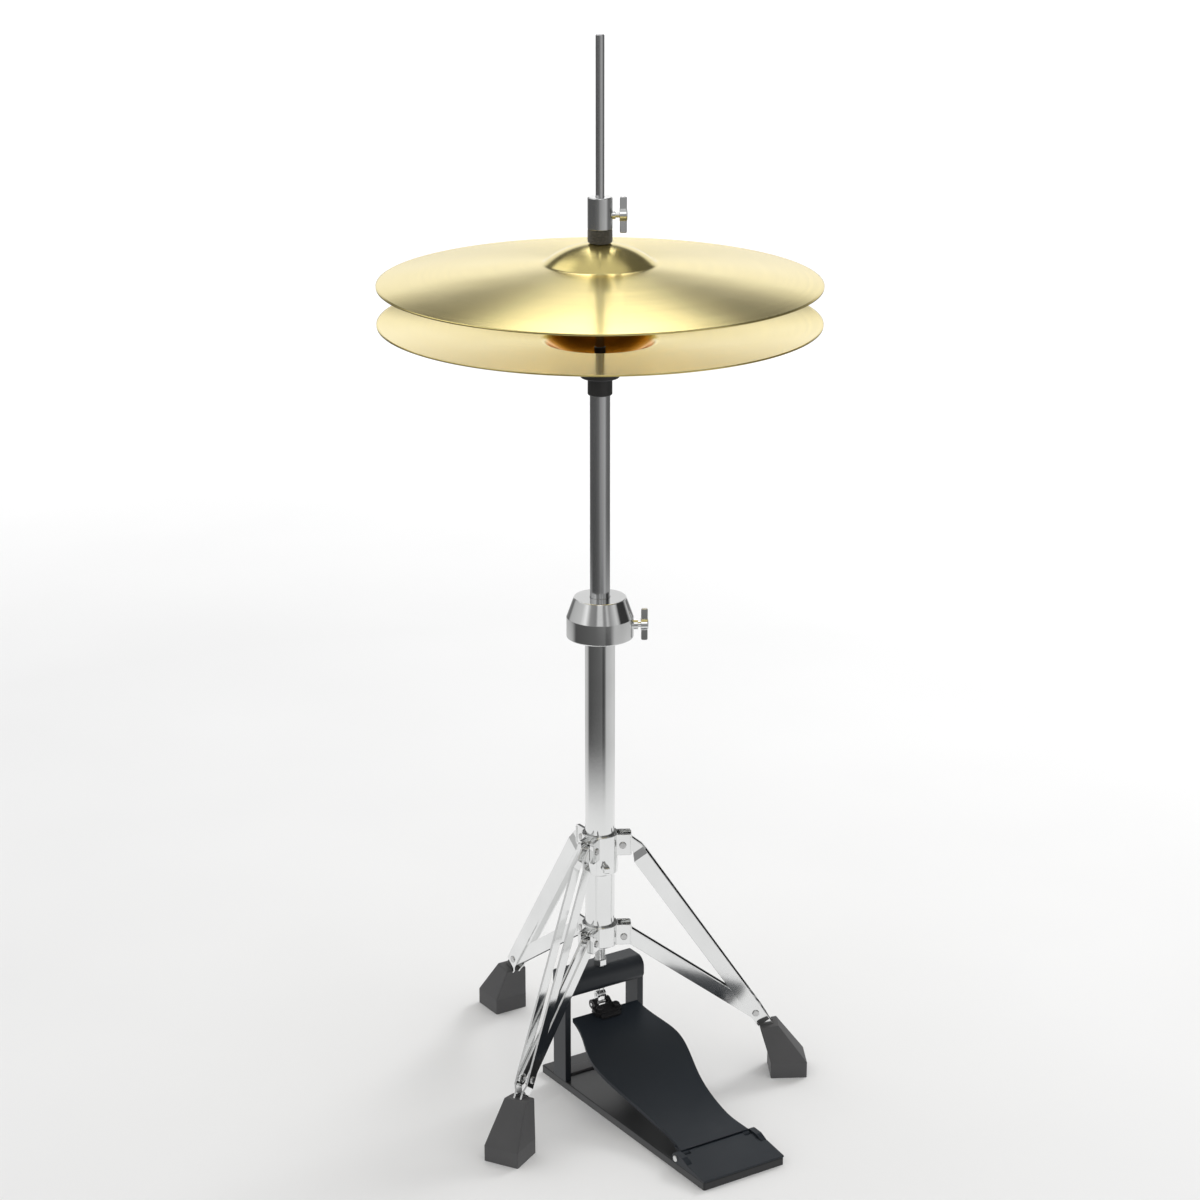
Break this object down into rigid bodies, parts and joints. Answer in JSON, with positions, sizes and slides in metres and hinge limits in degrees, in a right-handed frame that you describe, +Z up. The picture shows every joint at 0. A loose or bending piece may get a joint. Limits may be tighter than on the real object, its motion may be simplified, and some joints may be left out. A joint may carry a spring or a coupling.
{
  "type": "hi-hat cymbal stand with pedal",
  "caption": "Pair of facing cymbals on a tripod stand, closed by a foot pedal through a sprung pull rod and chain.",
  "frame": {"origin": "on the floor under the stand's tube, on the flat underside of the pedal's base plate", "axes": "+Z up along the tube and rod; -Y towards the heel of the pedal, where the player sits; +X to the player's right seen from behind the rod"},
  "size_m": [0.3556, 0.3929, 0.8946],
  "materials": {
    "chrome": "polished chrome plate",
    "steel": "satin steel",
    "cymbal_bronze": "lathed cymbal bronze",
    "black_paint": "satin blue-black powder coat",
    "black_steel": "blackened steel",
    "nylon": "black nylon",
    "felt": "pressed black felt",
    "rubber": "moulded grey-black rubber"
  },
  "bodies": {
    "stand": {"base_plate": "black_paint", "pedal_frame": "black_paint", "frame_screws": "steel", "toe_bumper": "rubber", "heel_plate": "black_paint", "heel_plate_screws": "steel", "heel_pin": "steel", "return_spring": "steel", "spring_seat": "steel", "guide_bush": "nylon", "connector_stem": "chrome", "connector_nuts": "chrome", "lower_hub": "chrome", "lower_tube": "chrome", "height_clamp": "chrome", "clamp_bush": "nylon", "strut_rivets": "steel"},
    "footboard": {"footboard": "black_paint", "toe_clamp": "black_steel", "toe_clamp_bolts": "black_steel"},
    "pull_rod": {"pull_rod": "steel", "rod_coupler": "steel", "center_rod": "steel"},
    "chain": {"chain_outer_plates": "chrome", "chain_inner_plates": "chrome", "chain_rollers": "steel", "chain_pins": "steel"},
    "mast": {"upper_tube": "chrome", "seat_holder": "nylon", "seat_sleeve": "nylon", "seat_felt": "felt"},
    "bottom_cymbal": {"bottom_cymbal": "cymbal_bronze"},
    "clutch": {"clutch_body": "chrome", "clutch_stem": "steel", "clutch_upper_felt": "felt", "clutch_lower_felt": "felt", "clutch_nut": "chrome"},
    "top_cymbal": {"top_cymbal": "cymbal_bronze"},
    "clutch_wing_screw": {"clutch_wing_screw": "chrome"},
    "clamp_wing_screw": {"clamp_wing_screw": "chrome"},
    "upper_hub": {"upper_hub": "chrome", "leg_rivets": "steel"},
    "hub_key_screw": {"hub_key_screw": "chrome"},
    "leg_rear": {"leg_rear": "chrome", "foot_rivet_rear": "steel", "rubber_foot_rear": "rubber"},
    "strut_rear": {"strut_rear": "chrome"},
    "leg_left": {"leg_left": "chrome", "foot_rivet_left": "steel", "rubber_foot_left": "rubber"},
    "strut_left": {"strut_left": "chrome"},
    "leg_right": {"leg_right": "chrome", "foot_rivet_right": "steel", "rubber_foot_right": "rubber"},
    "strut_right": {"strut_right": "chrome"}
  },
  "joints": [
    {"name": "pull_rod_slide", "type": "slide", "parent": "stand", "child": "pull_rod", "axis": [0, 0, -1], "range_m": [0, 0.0293], "stiffness_N_per_m": 400, "springref_m": -0.1, "deforming": ["return_spring"]},
    {"name": "pedal_hinge", "type": "hinge", "parent": "stand", "child": "footboard", "pos_m": [0, -0.174, 0.0106], "axis": [-1, 0, 0], "range_deg": [0, 9.3]},
    {"name": "chain_swing", "type": "hinge", "parent": "pull_rod", "child": "chain", "pos_m": [0, 0, 0.093], "axis": [1, 0, 0], "range_deg": [0, 18.5]},
    {"name": "height_slide", "type": "slide", "parent": "stand", "child": "mast", "axis": [0, 0, 1], "range_m": [-0.095, 0.06]},
    {"name": "clutch_slide", "type": "slide", "parent": "pull_rod", "child": "clutch", "axis": [0, 0, 1], "range_m": [-0.095, 0.06]},
    {"name": "bottom_cymbal_spin", "type": "hinge", "parent": "mast", "child": "bottom_cymbal", "pos_m": [0, 0, 0.6355], "axis": [0, 0, 1], "continuous": true},
    {"name": "top_cymbal_spin", "type": "hinge", "parent": "clutch", "child": "top_cymbal", "pos_m": [0, 0, 0.731], "axis": [0, 0, 1], "continuous": true},
    {"name": "clutch_screw_turn", "type": "hinge", "parent": "clutch", "child": "clutch_wing_screw", "pos_m": [0, 0, 0.7534], "axis": [0.866, -0.5, 0], "range_deg": [0, 360]},
    {"name": "clamp_screw_turn", "type": "hinge", "parent": "stand", "child": "clamp_wing_screw", "pos_m": [0, 0, 0.412], "axis": [0.866, -0.5, 0], "range_deg": [0, 360]},
    {"name": "hub_slide", "type": "slide", "parent": "stand", "child": "upper_hub", "axis": [0, 0, -1], "range_m": [0, 0.0173]},
    {"name": "key_screw_turn", "type": "hinge", "parent": "upper_hub", "child": "hub_key_screw", "pos_m": [0, 0, 0.201], "axis": [-0.309, -0.9511, 0], "range_deg": [0, 360]},
    {"name": "leg_rear_fold", "type": "hinge", "parent": "upper_hub", "child": "leg_rear", "pos_m": [0, 0.0189, 0.2176], "axis": [-1, 0, 0], "range_deg": [0, 12]},
    {"name": "strut_rear_fold", "type": "hinge", "parent": "stand", "child": "strut_rear", "pos_m": [0, 0.02, 0.1333], "axis": [-1, 0, 0], "range_deg": [0, 21.9]},
    {"name": "leg_left_fold", "type": "hinge", "parent": "upper_hub", "child": "leg_left", "pos_m": [-0.01637, -0.00945, 0.2176], "axis": [0.5, -0.866, 0], "range_deg": [0, 12]},
    {"name": "strut_left_fold", "type": "hinge", "parent": "stand", "child": "strut_left", "pos_m": [-0.01732, -0.01, 0.1333], "axis": [0.5, -0.866, 0], "range_deg": [0, 21.9]},
    {"name": "leg_right_fold", "type": "hinge", "parent": "upper_hub", "child": "leg_right", "pos_m": [0.01637, -0.00945, 0.2176], "axis": [0.5, 0.866, 0], "range_deg": [0, 12]},
    {"name": "strut_right_fold", "type": "hinge", "parent": "stand", "child": "strut_right", "pos_m": [0.01732, -0.01, 0.1333], "axis": [0.5, 0.866, 0], "range_deg": [0, 21.9]}
  ],
  "couplings": [
    {"joint": "pedal_hinge", "follows": "pull_rod_slide", "rad_per_m": 5.45},
    {"joint": "chain_swing", "follows": "pull_rod_slide", "rad_per_m": 10.755},
    {"joint": "clutch_slide", "follows": "height_slide", "ratio": 1},
    {"joint": "leg_rear_fold", "follows": "hub_slide", "rad_per_m": 11.99},
    {"joint": "strut_rear_fold", "follows": "hub_slide", "rad_per_m": 21.93},
    {"joint": "leg_left_fold", "follows": "hub_slide", "rad_per_m": 11.99},
    {"joint": "strut_left_fold", "follows": "hub_slide", "rad_per_m": 21.93},
    {"joint": "leg_right_fold", "follows": "hub_slide", "rad_per_m": 11.99},
    {"joint": "strut_right_fold", "follows": "hub_slide", "rad_per_m": 21.93}
  ]
}
